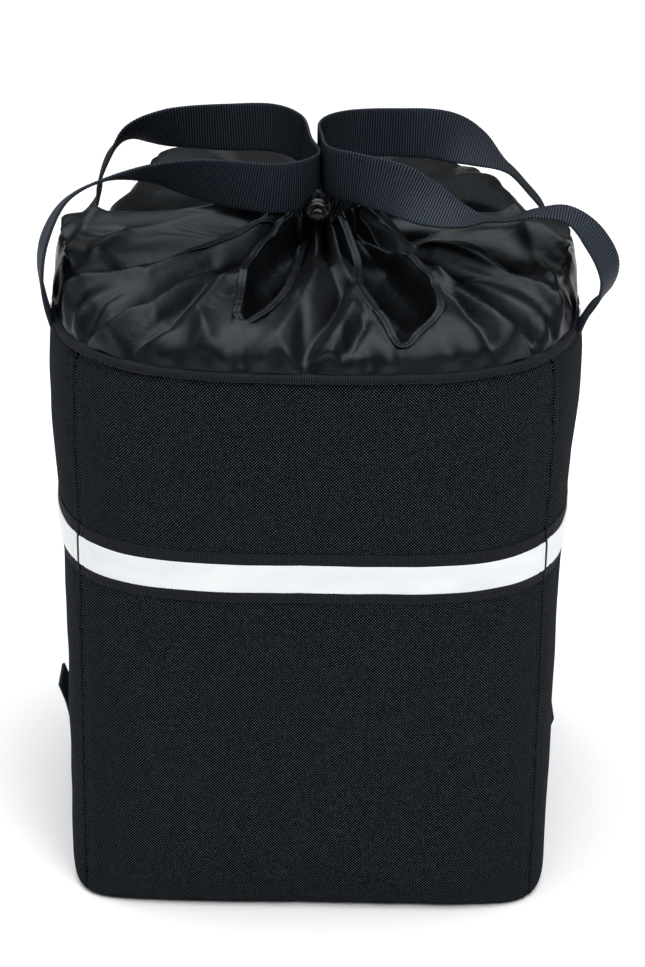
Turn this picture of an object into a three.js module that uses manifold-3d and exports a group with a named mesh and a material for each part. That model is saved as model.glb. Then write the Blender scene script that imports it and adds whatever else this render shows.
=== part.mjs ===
// A soft trunk bag for a bicycle carrier: a padded box of fabric panels, a thin collar gathered
// by a drawcord, two webbing handles, a band of reflective tape and two rack straps.
// Millimetres, +Z up, front towards -Y, origin in the middle of the floor panel's underside.
import * as THREE from 'three';
import { mergeVertices } from 'three/addons/utils/BufferGeometryUtils.js';
import Module from 'manifold-3d';

// Driving sizes of the body
const RIM_Z = 281;
const WALL = 5;
const GAP = 0.3;

// Plan of the body at a few heights: a rounded square whose corners sharpen towards the floor,
// so that the foot is rounded most in the middle of each side and stands on its four corners.
// seamDeg is where the corner seam stands, measured round from the X axis.
const SECTIONS = [
  { z: 0, halfWidth: 112, halfDepth: 116, squareness: 14, seamDeg: 45.6 },
  { z: 2, halfWidth: 116.3, halfDepth: 120.3, squareness: 10, seamDeg: 45.6 },
  { z: 5, halfWidth: 118.6, halfDepth: 122.8, squareness: 8, seamDeg: 45.5 },
  { z: 10, halfWidth: 119.6, halfDepth: 124.2, squareness: 7, seamDeg: 45.4 },
  { z: 44, halfWidth: 120, halfDepth: 125.6, squareness: 6.2, seamDeg: 44.8 },
  { z: 79, halfWidth: 120.8, halfDepth: 126.2, squareness: 5.4, seamDeg: 44 },
  { z: 124, halfWidth: 121.8, halfDepth: 126.5, squareness: 4.6, seamDeg: 42.6 },
  { z: 154, halfWidth: 122.8, halfDepth: 126.5, squareness: 4.1, seamDeg: 41.6 },
  { z: 184, halfWidth: 124.6, halfDepth: 126.3, squareness: 3.65, seamDeg: 40.6 },
  { z: 209, halfWidth: 126.8, halfDepth: 126, squareness: 3.4, seamDeg: 39.8 },
  { z: 239, halfWidth: 129.3, halfDepth: 125.6, squareness: 3.2, seamDeg: 39 },
  { z: 262, halfWidth: 129.6, halfDepth: 125, squareness: 3.05, seamDeg: 38.4 },
  { z: RIM_Z, halfWidth: 127.5, halfDepth: 124.2, squareness: 3.0, seamDeg: 38 },
];
const PANEL_COLUMNS = 12;
const RING_COLUMNS = 96;
const LEAST_TURN = 0.05;

// Tapes on the body
const BINDING = { thick: 1, low: RIM_Z - 5, high: RIM_Z + 0.6 };
const TAPE = { thick: 0.8, middle: 180.5, tall: 25 };
const REFLECTOR = { thick: 0.5, tall: 14 };

// Gathered collar: profiles from the rim in to the neck, as a share of the way in and the rise
const COLLAR = { thick: 1.2, inset: 1, neckRadius: 12, columns: 120, rows: 9 };
const FRONT_PROFILE = [
  { share: 0, rise: 0.3 },
  { share: 0.004, rise: 6 },
  { share: 0.015, rise: 10 },
  { share: 0.05, rise: 13.5 },
  { share: 0.16, rise: 18 },
  { share: 0.45, rise: 25 },
  { share: 0.75, rise: 32 },
  { share: 1, rise: 36.5 },
];
const BACK_PROFILE = [
  { share: 0, rise: 0.3 },
  { share: 0.004, rise: 12 },
  { share: 0.012, rise: 22 },
  { share: 0.05, rise: 30 },
  { share: 0.16, rise: 34 },
  { share: 0.45, rise: 35 },
  { share: 0.75, rise: 36 },
  { share: 1, rise: 36.5 },
];
// How far the collar stands up round the rim: 0 takes the front's profile and 1 the back's;
// below 0 it dips lower than the front, under the back ends of the handles
const COLLAR_STANDS = [
  { deg: 0, stand: 0.5 },
  { deg: 10, stand: 0.35 },
  { deg: 17, stand: -0.3 },
  { deg: 31, stand: -0.3 },
  { deg: 42, stand: 0.35 },
  { deg: 65, stand: 0.9 },
  { deg: 112, stand: 0.95 },
  { deg: 126, stand: 0.9 },
  { deg: 138, stand: 0.1 },
  { deg: 147, stand: -0.5 },
  { deg: 163, stand: -0.5 },
  { deg: 173, stand: 0.7 },
  { deg: 182, stand: 1 },
  { deg: 215, stand: 0.25 },
  { deg: 240, stand: 0.05 },
  { deg: 300, stand: 0.05 },
  { deg: 330, stand: 0.25 },
  { deg: 360, stand: 0.5 },
];

// Folds of the collar round the neck: where each ridge runs, its half width, its height over
// the slope and how far down the slope it starts, as a share of the way in from the rim.
// A fold begins a little outside its foot, swells to its height, and flattens in to the neck.
const FOLD_STARTS = 0.3;
const FOLD_SWELLS = 0.18;
const NECK_FROM = 0.6;
const NECK_FLATTENS = 0.75;
const FOLDS = [
  { deg: 9, spreadDeg: 11, high: 7, foot: 0.25 },
  { deg: 28, spreadDeg: 10, high: 6, foot: 0.2 },
  { deg: 47, spreadDeg: 11, high: 7, foot: 0.25 },
  { deg: 66, spreadDeg: 11, high: 5, foot: 0.35 },
  { deg: 84, spreadDeg: 10, high: 6, foot: 0.3 },
  { deg: 102, spreadDeg: 11, high: 5, foot: 0.35 },
  { deg: 121, spreadDeg: 11, high: 6, foot: 0.3 },
  { deg: 140, spreadDeg: 11, high: 6, foot: 0.35 },
  { deg: 159, spreadDeg: 11, high: 7, foot: 0.25 },
  { deg: 179, spreadDeg: 12, high: 9, foot: 0.15 },
  { deg: 202, spreadDeg: 9, high: 7, foot: 0.12 },
  { deg: 216, spreadDeg: 8, high: 6, foot: 0.15 },
  { deg: 234, spreadDeg: 13, high: 9, foot: 0.12 },
  { deg: 251, spreadDeg: 8, high: 9, foot: 0.25 },
  { deg: 270, spreadDeg: 12, high: 8, foot: 0.2 },
  { deg: 286, spreadDeg: 8, high: 10, foot: 0.15 },
  { deg: 304, spreadDeg: 9, high: 10, foot: 0.2 },
  { deg: 319, spreadDeg: 9, high: 7, foot: 0.15 },
  { deg: 334, spreadDeg: 9, high: 8, foot: 0.15 },
  { deg: 350, spreadDeg: 10, high: 8, foot: 0.12 },
];

// Webbing of the handles and straps
const WEBBING = { wide: 25, thick: 1.8 };
const HANDLE_STEPS = 60;

// Route of each handle from its front end over the top to its back end: x, y and height over
// the rim. across points over the webbing's width, from its front edge at the side of the bag.
const LEFT_HANDLE = [
  { at: [-129, -45, -6], across: [-0.12, 0.99, 0] },
  { at: [-129.2, -45, 6], across: [-0.12, 0.99, 0] },
  { at: [-131, -45, 21], across: [-0.16, 0.98, 0] },
  { at: [-128.5, -43, 37], across: [-0.16, 0.97, -0.1] },
  { at: [-118, -40, 55], across: [-0.1, 0.95, -0.28] },
  { at: [-100, -36, 64], across: [0, 0.95, -0.31] },
  { at: [-78, -31, 66], across: [0, 0.8, -0.6] },
  { at: [-58, -27, 62.5], across: [0, 0.45, -0.9] },
  { at: [-38, -23, 58], across: [0, 0.15, -1] },
  { at: [-16, -18, 55], across: [0, 0, -1] },
  { at: [0.2, -2.5, 55.5], across: [0, 0, -1] },
  { at: [-3.6, 12, 59], across: [0, 0, -1] },
  { at: [-8.5, 34, 63], across: [0, 0, -1] },
  { at: [-22, 50, 63.5], across: [0, 0, -1] },
  { at: [-48, 55, 62], across: [0, 0.1, -1] },
  { at: [-74, 56, 61], across: [0, 0.4, -0.9] },
  { at: [-94, 57, 57], across: [0, 0.8, -0.55] },
  { at: [-104, 57, 47], across: [-0.05, 1, -0.15] },
  { at: [-109.5, 57, 34], across: [0, 1, 0] },
  { at: [-110.8, 56.5, 23], across: [0, 1, 0] },
  { at: [-117, 56, 14.5], across: [0.08, 1, 0] },
  { at: [-124.2, 55.5, 8.5], across: [0.14, 0.98, 0] },
  { at: [-127.6, 55, 2], across: [0.18, 0.98, 0] },
  { at: [-127.2, 55, -6], across: [0.18, 0.98, 0] },
];
const RIGHT_HANDLE = [
  { at: [129, -45, -6], across: [0.12, 0.99, 0] },
  { at: [131.2, -45, 4], across: [0.2, 0.98, 0] },
  { at: [137.8, -45, 15], across: [0.35, 0.93, 0] },
  { at: [139.2, -44, 26], across: [0.4, 0.9, 0.1] },
  { at: [131, -42, 41], across: [0.25, 0.93, 0.2] },
  { at: [119, -40, 51], across: [0.05, 1, 0.02] },
  { at: [104, -38, 51], across: [0, 0.98, -0.18] },
  { at: [86, -34, 45.5], across: [0, 0.94, -0.33] },
  { at: [70, -31, 46], across: [0, 0.96, 0.1] },
  { at: [54, -28, 51], across: [0, 0.75, 0.65] },
  { at: [38, -24, 57], across: [0, 0.35, 0.93] },
  { at: [20, -18, 60], across: [0, 0.1, 1] },
  { at: [5, -7, 60.5], across: [0, 0, 1] },
  { at: [1.8, 8, 62], across: [0, 0, 1] },
  { at: [0.6, 22, 62.8], across: [0, 0, 1] },
  { at: [5, 36, 62.6], across: [0, 0, 1] },
  { at: [17, 49, 61.5], across: [0, 0, 1] },
  { at: [40, 55, 60.5], across: [0, 0.05, 1] },
  { at: [62, 56, 59], across: [0, 0.3, 0.95] },
  { at: [81, 57, 52], across: [0, 0.8, 0.5] },
  { at: [97, 57, 41], across: [0, 0.98, -0.1] },
  { at: [106, 56.5, 31.5], across: [0, 0.98, -0.1] },
  { at: [112.5, 56, 24], across: [0, 0.98, -0.1] },
  { at: [119, 55.6, 15.5], across: [-0.1, 0.98, 0] },
  { at: [124.8, 55.2, 8.5], across: [-0.14, 0.98, 0] },
  { at: [127.6, 55, 2], across: [-0.18, 0.98, 0] },
  { at: [127.2, 55, -6], across: [-0.18, 0.98, 0] },
];

// Rack straps: sewn at the foot of each side panel, the left one standing away at its top
const STRAP_STEPS = 10;
const STRAP_Y = -5;
const LEFT_STRAP = [
  { x: -120.9, z: 8 },
  { x: -121.5, z: 20 },
  { x: -123, z: 38 },
  { x: -126.8, z: 54 },
  { x: -131.5, z: 66 },
];
const RIGHT_STRAP = [
  { x: 120.9, z: 8 },
  { x: 121.5, z: 20 },
  { x: 122, z: 34 },
  { x: 123, z: 43 },
  { x: 125.2, z: 50 },
];

// Cord lock in front of the handles, lying along Y, and the loop of cord that stands in it
const LOCK = {
  x: 0.5, z: RIM_Z + 45.5, front: -29, back: -13, radius: 6, buttonRadius: 4, buttonLong: 4, sides: 20,
};
const CORD = {
  thick: 2.4, apart: 3.6, y: -20, low: RIM_Z + 38.8, high: RIM_Z + 54, sides: 8, steps: 20,
};

// Finishes
const OXFORD = { color: 0x17181c, roughness: 0.85, metalness: 0 };
const TAFFETA = { color: 0x1b1e20, roughness: 0.42, metalness: 0 };
const WEB = { color: 0x1a1b20, roughness: 0.7, metalness: 0 };
const GROSGRAIN = { color: 0x1c1d22, roughness: 0.75, metalness: 0 };
const SILVER = { color: 0xdfe4e8, roughness: 0.35, metalness: 0.1 };
const PLASTIC = { color: 0x141416, roughness: 0.25, metalness: 0 };

const wasm = await Module();
wasm.setup();

const bag = new THREE.Group();

function addPiece(name, geometry, finish) {
  geometry.computeVertexNormals();
  const mesh = new THREE.Mesh(geometry, new THREE.MeshStandardMaterial(finish));
  mesh.name = name;
  bag.add(mesh);
}

// Closed solid between two surfaces, each a function of u (across) and v (along) from 0 to 1.
// On a ring the last column joins the first.
function wallBetween(outside, inside, across, along, ring = false) {
  const columns = ring ? across : across + 1;
  const positions = [];
  for (const surface of [outside, inside]) {
    for (let row = 0; row <= along; row++) {
      for (let column = 0; column < columns; column++) {
        positions.push(...surface(column / across, row / along).toArray());
      }
    }
  }
  const layer = columns * (along + 1);
  const outer = (column, row) => row * columns + (column % columns);
  const inner = (column, row) => layer + outer(column, row);
  const triangles = [];
  const quad = (a, b, c, d) => triangles.push(a, b, c, a, c, d);
  for (let i = 0; i < across; i++) {
    for (let j = 0; j < along; j++) {
      quad(outer(i, j), outer(i + 1, j), outer(i + 1, j + 1), outer(i, j + 1));
      quad(inner(i, j), inner(i, j + 1), inner(i + 1, j + 1), inner(i + 1, j));
    }
    quad(outer(i, 0), inner(i, 0), inner(i + 1, 0), outer(i + 1, 0));
    quad(outer(i, along), outer(i + 1, along), inner(i + 1, along), inner(i, along));
  }
  if (!ring) {
    for (let j = 0; j < along; j++) {
      quad(outer(0, j), outer(0, j + 1), inner(0, j + 1), inner(0, j));
      quad(outer(across, j), inner(across, j), inner(across, j + 1), outer(across, j + 1));
    }
  }
  const geometry = new THREE.BufferGeometry();
  geometry.setAttribute('position', new THREE.Float32BufferAttribute(positions, 3));
  geometry.setIndex(triangles);
  return geometry;
}

function sectionAt(z) {
  const height = THREE.MathUtils.clamp(z, 0, RIM_Z);
  const above = Math.max(1, SECTIONS.findIndex((row) => row.z >= height));
  const low = SECTIONS[above - 1];
  const high = SECTIONS[above];
  const share = (height - low.z) / (high.z - low.z);
  const between = (key) => THREE.MathUtils.lerp(low[key], high[key], share);
  return {
    halfWidth: between('halfWidth'),
    halfDepth: between('halfDepth'),
    squareness: between('squareness'),
    seam: THREE.MathUtils.degToRad(between('seamDeg')),
  };
}

// Distance from the middle of the bag to its skin, at an angle and height, inset by some mm
function skinRadius(angle, z, inset) {
  const { halfWidth, halfDepth, squareness } = sectionAt(z);
  const alongX = Math.abs(Math.cos(angle)) / (halfWidth - inset);
  const alongY = Math.abs(Math.sin(angle)) / (halfDepth - inset);
  return (alongX ** squareness + alongY ** squareness) ** (-1 / squareness);
}

function skinPoint(angle, z, inset) {
  const radius = skinRadius(angle, z, inset);
  return new THREE.Vector3(radius * Math.cos(angle), radius * Math.sin(angle), z);
}

// Each panel runs between two corner seams
const PANELS = [
  { side: 'right', name: 'right_side_panel', from: (seam) => -seam, to: (seam) => seam },
  { side: 'back', name: 'back_panel', from: (seam) => seam, to: (seam) => Math.PI - seam },
  { side: 'left', name: 'left_side_panel', from: (seam) => Math.PI - seam, to: (seam) => Math.PI + seam },
  { side: 'front', name: 'front_panel', from: (seam) => Math.PI + seam, to: (seam) => 2 * Math.PI - seam },
];

// Angle at share u of the way across a panel, half a gap short of each seam.
// Equal steps of u crowd together towards the seams, where the corner turns.
function panelAngle(panel, u, z) {
  const { seam } = sectionAt(z);
  const from = panel.from(seam);
  const to = panel.to(seam);
  const clear = GAP / 2 / skinRadius(from, z, WALL);
  const eased = (1 - Math.cos(Math.PI * u)) / 2;
  return THREE.MathUtils.lerp(from + clear, to - clear, eased);
}

// Outline without the points that lie in a straight run
function turningPoints(outline) {
  return outline.filter((here, i) => {
    const arriving = here.clone().sub(outline.at(i - 1));
    const leaving = outline[(i + 1) % outline.length].clone().sub(here);
    return Math.abs(arriving.cross(leaving)) > LEAST_TURN;
  });
}

function buildPanels() {
  const zAt = (v) => SECTIONS[Math.round(v * (SECTIONS.length - 1))].z;
  for (const panel of PANELS) {
    const layer = (inset) => (u, v) => skinPoint(panelAngle(panel, u, zAt(v)), zAt(v), inset);
    const wall = wallBetween(layer(0), layer(WALL), PANEL_COLUMNS, SECTIONS.length - 1);
    addPiece(panel.name, wall, OXFORD);
  }
  const outline = [];
  for (const panel of PANELS) {
    for (let column = 0; column < PANEL_COLUMNS; column++) {
      const corner = skinPoint(panelAngle(panel, column / PANEL_COLUMNS, 0), 0, WALL + GAP);
      outline.push(new THREE.Vector2(corner.x, corner.y));
    }
  }
  const floor = new THREE.ExtrudeGeometry(
    new THREE.Shape(turningPoints(outline)),
    { depth: WALL, bevelEnabled: false },
  );
  addPiece('bottom_panel', floor, OXFORD);
}

// Band on the outside of the body between two heights; thickness and lift are off the skin
function bandLayer(angleAt, low, high, lift) {
  return (u, v) => {
    const z = THREE.MathUtils.lerp(low, high, v);
    return skinPoint(angleAt(u, z), z, -lift);
  };
}

function buildTapes() {
  const round = (u) => 2 * Math.PI * u;
  const { low, high } = BINDING;
  const binding = wallBetween(
    bandLayer(round, low, high, GAP + BINDING.thick),
    bandLayer(round, low, high, GAP),
    RING_COLUMNS, 1, true,
  );
  addPiece('rim_binding', binding, GROSGRAIN);
  const strips = [
    { kind: 'tape', tall: TAPE.tall, lift: GAP, thick: TAPE.thick, finish: GROSGRAIN },
    {
      kind: 'reflector',
      tall: REFLECTOR.tall,
      lift: 2 * GAP + TAPE.thick,
      thick: REFLECTOR.thick,
      finish: SILVER,
    },
  ];
  for (const strip of strips) {
    for (const panel of PANELS) {
      const angleAt = (u, z) => panelAngle(panel, u, z);
      const bottom = TAPE.middle - strip.tall / 2;
      const top = TAPE.middle + strip.tall / 2;
      const band = wallBetween(
        bandLayer(angleAt, bottom, top, strip.lift + strip.thick),
        bandLayer(angleAt, bottom, top, strip.lift),
        PANEL_COLUMNS, 1,
      );
      addPiece(`${strip.kind}_${panel.side}`, band, strip.finish);
    }
  }
}

function profileCurve(rows) {
  return new THREE.SplineCurve(rows.map(({ share, rise }) => new THREE.Vector2(share, rise)));
}
const frontProfile = profileCurve(FRONT_PROFILE);
const backProfile = profileCurve(BACK_PROFILE);

// Share of the back's profile at an angle, eased from row to row of the table
function standAt(angle) {
  const deg = THREE.MathUtils.euclideanModulo(THREE.MathUtils.radToDeg(angle), 360);
  const next = COLLAR_STANDS.findIndex((row) => row.deg > deg);
  const [before, after] = [COLLAR_STANDS[next - 1], COLLAR_STANDS[next]];
  const eased = THREE.MathUtils.smoothstep(deg, before.deg, after.deg);
  return THREE.MathUtils.lerp(before.stand, after.stand, eased);
}

// Height of the folds over the smooth slope
function foldHeight(angle, share) {
  const deg = THREE.MathUtils.radToDeg(angle);
  const fade = 1 - NECK_FLATTENS * THREE.MathUtils.smoothstep(share, NECK_FROM, 1);
  let height = 0;
  for (const fold of FOLDS) {
    const off = Math.abs(THREE.MathUtils.euclideanModulo(deg - fold.deg + 180, 360) - 180) / fold.spreadDeg;
    if (off < 1) {
      const swell = THREE.MathUtils.smoothstep(share, fold.foot * FOLD_STARTS, fold.foot + FOLD_SWELLS);
      height += fold.high * Math.cos(off * Math.PI / 2) ** 2 * swell * fade;
    }
  }
  return height;
}

// Collar surface: sink is the depth under the outside, measured square to the smooth slope
function collarPoint(angle, v, sink) {
  const back = standAt(angle);
  const spot = frontProfile.getPoint(v).lerp(backProfile.getPoint(v), back);
  const slope = frontProfile.getTangent(v).lerp(backProfile.getTangent(v), back);
  const rim = skinRadius(angle, RIM_Z, COLLAR.inset);
  const run = (rim - COLLAR.neckRadius) * slope.x;
  const out = new THREE.Vector2(slope.y, run).normalize();
  const lift = foldHeight(angle, spot.x) - sink;
  const radius = THREE.MathUtils.lerp(rim, COLLAR.neckRadius, spot.x) + out.x * lift;
  const z = RIM_Z + spot.y + out.y * lift;
  return new THREE.Vector3(radius * Math.cos(angle), radius * Math.sin(angle), z);
}

function buildCollar() {
  const layer = (sink) => (u, v) => collarPoint(2 * Math.PI * u, v, sink);
  const collar = wallBetween(layer(0), layer(COLLAR.thick), COLLAR.columns, COLLAR.rows, true);
  addPiece('collar', collar, TAFFETA);
}

// Strip of webbing along a smooth line through stations
function ribbon(stations, steps) {
  const line = new THREE.CatmullRomCurve3(stations.map((row) => new THREE.Vector3(...row.at)));
  const widths = new THREE.CatmullRomCurve3(stations.map((row) => new THREE.Vector3(...row.across)));
  const face = (side) => (u, v) => {
    const along = line.getTangent(v);
    const across = widths.getPoint(v);
    across.addScaledVector(along, -across.dot(along)).normalize();
    const off = along.clone().cross(across).multiplyScalar(side * WEBBING.thick / 2);
    return line.getPoint(v).addScaledVector(across, (u - 0.5) * WEBBING.wide).add(off);
  };
  return wallBetween(face(-1), face(1), 1, steps);
}

function buildWebbing() {
  const overRim = ({ at: [x, y, rise], across }) => ({ at: [x, y, RIM_Z + rise], across });
  addPiece('left_handle', ribbon(LEFT_HANDLE.map(overRim), HANDLE_STEPS), WEB);
  addPiece('right_handle', ribbon(RIGHT_HANDLE.map(overRim), HANDLE_STEPS), WEB);
  const strapRow = ({ x, z }) => ({ at: [x, STRAP_Y, z], across: [0, 1, 0] });
  addPiece('rack_strap_left', ribbon(LEFT_STRAP.map(strapRow), STRAP_STEPS), WEB);
  addPiece('rack_strap_right', ribbon(RIGHT_STRAP.map(strapRow), STRAP_STEPS), WEB);
}

function toSolid(geometry) {
  const bare = geometry.clone();
  bare.deleteAttribute('normal');
  bare.deleteAttribute('uv');
  const merged = mergeVertices(bare);
  const vertProperties = new Float32Array(merged.attributes.position.array);
  const triVerts = new Uint32Array(merged.index.array);
  return new wasm.Manifold(new wasm.Mesh({ numProp: 3, vertProperties, triVerts }));
}

function toGeometry(solid) {
  const { vertProperties, triVerts } = solid.getMesh();
  const geometry = new THREE.BufferGeometry();
  geometry.setAttribute('position', new THREE.Float32BufferAttribute(vertProperties, 3));
  geometry.setIndex(Array.from(triVerts));
  return geometry;
}

// Round bar along -Y from a back face to a front face, with its front edge rounded over
function bar(radius, back, front) {
  const long = back - front;
  const edge = radius * 0.3;
  const profile = [
    new THREE.Vector2(0, 0),
    new THREE.Vector2(radius, 0),
    new THREE.Vector2(radius, long - edge),
    new THREE.Vector2(radius - edge, long),
    new THREE.Vector2(0, long),
  ];
  const geometry = new THREE.LatheGeometry(profile, LOCK.sides);
  geometry.rotateX(Math.PI);
  geometry.translate(LOCK.x, back, LOCK.z);
  return geometry;
}

function buildDrawcord() {
  const half = CORD.apart / 2;
  const legTop = CORD.high - half;
  const loop = new THREE.CatmullRomCurve3([
    new THREE.Vector3(LOCK.x - half, CORD.y, CORD.low),
    new THREE.Vector3(LOCK.x - half, CORD.y, legTop - half),
    new THREE.Vector3(LOCK.x, CORD.y, CORD.high),
    new THREE.Vector3(LOCK.x + half, CORD.y, legTop - half),
    new THREE.Vector3(LOCK.x + half, CORD.y, CORD.low),
  ]);
  const section = new THREE.Shape();
  section.absarc(0, 0, CORD.thick / 2, 0, 2 * Math.PI);
  const cord = new THREE.ExtrudeGeometry(section, {
    extrudePath: loop,
    steps: CORD.steps,
    curveSegments: CORD.sides / 2,
  });
  addPiece('drawcord', cord, WEB);
  const passage = new THREE.BoxGeometry(
    CORD.apart + CORD.thick + 2 * GAP, CORD.thick + 2 * GAP, 4 * LOCK.radius,
  );
  passage.translate(LOCK.x, CORD.y, LOCK.z);
  const barrel = toSolid(bar(LOCK.radius, LOCK.back, LOCK.front)).subtract(toSolid(passage));
  addPiece('cord_lock_barrel', toGeometry(barrel), PLASTIC);
  const buttonBack = LOCK.front - GAP;
  addPiece('cord_lock_button', bar(LOCK.buttonRadius, buttonBack, buttonBack - LOCK.buttonLong), PLASTIC);
}

buildPanels();
buildTapes();
buildCollar();
buildWebbing();
buildDrawcord();

export default bag;
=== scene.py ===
"""Looks of a soft bicycle trunk bag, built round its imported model.

Sizes are in millimetres, +Z up, front to -Y.
"""

import math

import bpy
import numpy as np
from mathutils import Matrix, Vector
from mathutils.bvhtree import BVHTree


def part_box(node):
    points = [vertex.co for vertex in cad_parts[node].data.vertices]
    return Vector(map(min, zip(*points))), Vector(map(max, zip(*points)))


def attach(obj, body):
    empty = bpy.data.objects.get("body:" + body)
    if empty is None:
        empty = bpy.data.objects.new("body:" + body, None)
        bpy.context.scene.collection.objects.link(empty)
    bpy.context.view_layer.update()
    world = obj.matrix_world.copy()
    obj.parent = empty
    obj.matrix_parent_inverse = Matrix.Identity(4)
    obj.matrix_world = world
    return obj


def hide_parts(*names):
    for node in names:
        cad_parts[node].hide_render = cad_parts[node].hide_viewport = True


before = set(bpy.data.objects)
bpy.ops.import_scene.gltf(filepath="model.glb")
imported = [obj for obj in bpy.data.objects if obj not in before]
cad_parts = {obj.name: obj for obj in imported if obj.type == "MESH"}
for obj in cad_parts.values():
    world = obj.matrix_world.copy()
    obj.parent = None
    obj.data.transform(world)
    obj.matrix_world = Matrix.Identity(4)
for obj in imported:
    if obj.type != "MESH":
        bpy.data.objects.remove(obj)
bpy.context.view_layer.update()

MM = 0.001
TAU = 2 * math.pi
TINY = 1e-9

# Driving sizes, the rim's height from the frame
RIM_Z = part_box("front_panel")[1].z / MM
WALL = 5.0
SEAM_HALF_GAP = 0.32

# Plan of the body: height, half width, half depth, squareness and the corner seam's angle in degrees
SECTIONS = np.array([
    (0, 112, 116, 14, 45.6),
    (2, 116.3, 120.3, 10, 45.6),
    (5, 118.6, 122.8, 8, 45.5),
    (10, 119.6, 124.2, 7, 45.4),
    (44, 120, 125.6, 6.2, 44.8),
    (79, 120.8, 126.2, 5.4, 44),
    (124, 121.8, 126.5, 4.6, 42.6),
    (154, 122.8, 126.5, 4.1, 41.6),
    (184, 124.6, 126.3, 3.65, 40.6),
    (209, 126.8, 126, 3.4, 39.8),
    (239, 129.3, 125.6, 3.2, 39),
    (262, 129.6, 125, 3.05, 38.4),
    (RIM_Z, 127.5, 124.2, 3.0, 38),
])

# Grid of a panel: steps in from each seam on a nominal half width, steps between, and rows up it
PANEL_HALF = 117.0
EDGE_STEPS = (0, 0.3, 0.7, 1.2, 1.8, 2.5, 3.2, 3.9, 4.6, 5.3, 6.2, 7.4)
MIDDLE_STEPS = 86
PANEL_EDGE = 1 - np.array(EDGE_STEPS) / PANEL_HALF
PANEL_MIDDLE = np.linspace(-PANEL_EDGE[-1], PANEL_EDGE[-1], MIDDLE_STEPS + 1)[1:-1]
PANEL_OFFSETS = np.concatenate([-PANEL_EDGE, PANEL_MIDDLE, PANEL_EDGE[::-1]])
FOOT_ROWS = (0, 0.5, 1.1, 1.8, 2.7, 3.8, 5.2, 7, 9.5, 13)
PANEL_ROWS = np.concatenate([FOOT_ROWS, np.linspace(16, RIM_Z - 10, 104), np.linspace(RIM_Z - 9, RIM_Z, 9)])

# Tape and the strip on it: height, lift of the under and upper side, share of the panel's width
TAPE_Z = 180.5
TAPE = {"tall": 25.0, "low": 0.1, "high": 0.8, "reach": 0.9985}
REFLECTOR = {"tall": 14.0, "low": 0.85, "high": 1.25, "reach": 0.992}
# The tape is sewn a little higher on one side
TAPE_SHIFT = {"right": 0.4}
# Rounded edge of a strip: distance in from the edge and share of the thickness there
STRIP_EDGE = np.array([(0, 0.25), (0.12, 0.8), (0.4, 1.0)])
STRIP_FLAT_IN = 1.2
STRIP_FLAT_ROWS = 13

# Relief of the panels: places of the sewing, and depth and half width of the dents it makes
SEAM_ROLL = 1.8
TOPSTITCH_OFF = 4.6
TOPSTITCH_DENT = (0.28, 1.0)
TAPE_STITCH_OFF = 10.6
TAPE_DENT = (0.7, 3.0)
# The binding draws the panels in between two heights
BINDING_DEEP = 1.3
BINDING_DRAWS = (RIM_Z - 7, RIM_Z - 2.9)
# Crease up the front: its place from the panel's middle, depth and half width
CREASE_AT = -5.0
FRONT_CREASE = (0.7, 5.0)
# Wrinkles: depth and length of wave, the waves summed, and how far in from a seam they are full
WRINKLES = [(0.45, 75), (0.16, 26)]
WRINKLE_WAVES = 7
WRINKLE_IN = 30
# Shares of the asked length, or number in a turn, between which the waves summed are drawn
WAVE_SPREAD, RING_SPREAD = (0.7, 1.5), (0.7, 1.4)
# Puckers where a corner seam meets the rim: depth, reach in and down, squeeze, waves summed and length
PUCKER_DEEP, PUCKER_IN, PUCKER_DOWN = 0.5, 9.0, 40.0
PUCKER_SQUEEZE, PUCKER_WAVES, PUCKER_LONG = 0.3, 5, 9

# Floor board: share of its plan and height of each ring, from the underside to the top
BOARD_SIDES = 240
BOARD_GAP = 0.3
BOARD_RINGS = [
    (0.3, 0), (0.7, 0), (0.95, 0), (0.985, 0.15), (0.996, 0.7), (1, 1.6), (1, 3.6), (0.995, 4.5), (0.98, 5),
    (0.5, 5),
]

# Binding folded over the rim: lift out of the skin and height from the rim
BINDING_PROFILE = [
    (-1.15, -3.0), (-0.2, -3.1), (0.35, -2.7), (0.55, -2.0), (0.55, -1.1), (0.35, -0.1), (-0.4, 0.75),
    (-1.8, 1.1), (-3.6, 1.1), (-5.2, 0.8), (-5.8, -0.2), (-5.3, -0.4), (-4.6, 0.25), (-3, 0.35),
    (-1.5, 0.15), (-1.1, -0.7), (-1.15, -1.9),
]
BINDING_COLUMNS = 900
# Its outer side, whose lift is over this, swells
BINDING_OUTER = -1
# Unevenness round the rim: height, waves summed, waves in a turn and seed
BINDING_WANDER = (0.35, 6, 18, 5)
BINDING_SWELL = (0.18, 6, 50, 6)

# Collar: its grid, its thickness and the neck it is gathered to
COLLAR_COLUMNS, COLLAR_ROWS = 300, 50
COLLAR_INSET = 1.6
COLLAR_THICK = 0.4
NECK_RADIUS = 15.0
# Ridges of the gathered collar, in degrees round the neck
FOLD_RIDGES = (9, 28, 47, 66, 84, 102, 121, 140, 159, 179, 202, 216, 234, 251, 270, 286, 304, 319, 334, 350)
# Angle of one gather, which sets its depth, and the share of it that is rounded at the top and foot
GATHER_ANGLE = math.radians(19)
GATHER_ROUND = 0.15
# Shares of the way in between which the gathers grow
GATHER_GROWS = (0.02, 0.3)
# How much flatter they lie all round and at the front, up to where, and the front's middle and half width
CALM_ROUND, CALM_FRONT = 0.4, 0.35
CALM_ENDS = (0.7, 0.92)
FRONT_MIDDLE, FRONT_HALF = 1.5 * math.pi, 1.05
# Mean profile of the collar: share of the way in from rim to neck, rise at the front and at the back
COLLAR_PROFILE = np.array([
    (0, 0, 0), (0.003, 6, 12), (0.012, 10, 22), (0.05, 13.5, 29), (0.16, 18, 33), (0.45, 22, 33),
    (0.75, 25, 32), (0.93, 30, 33.5), (1, 37, 37),
])
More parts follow.
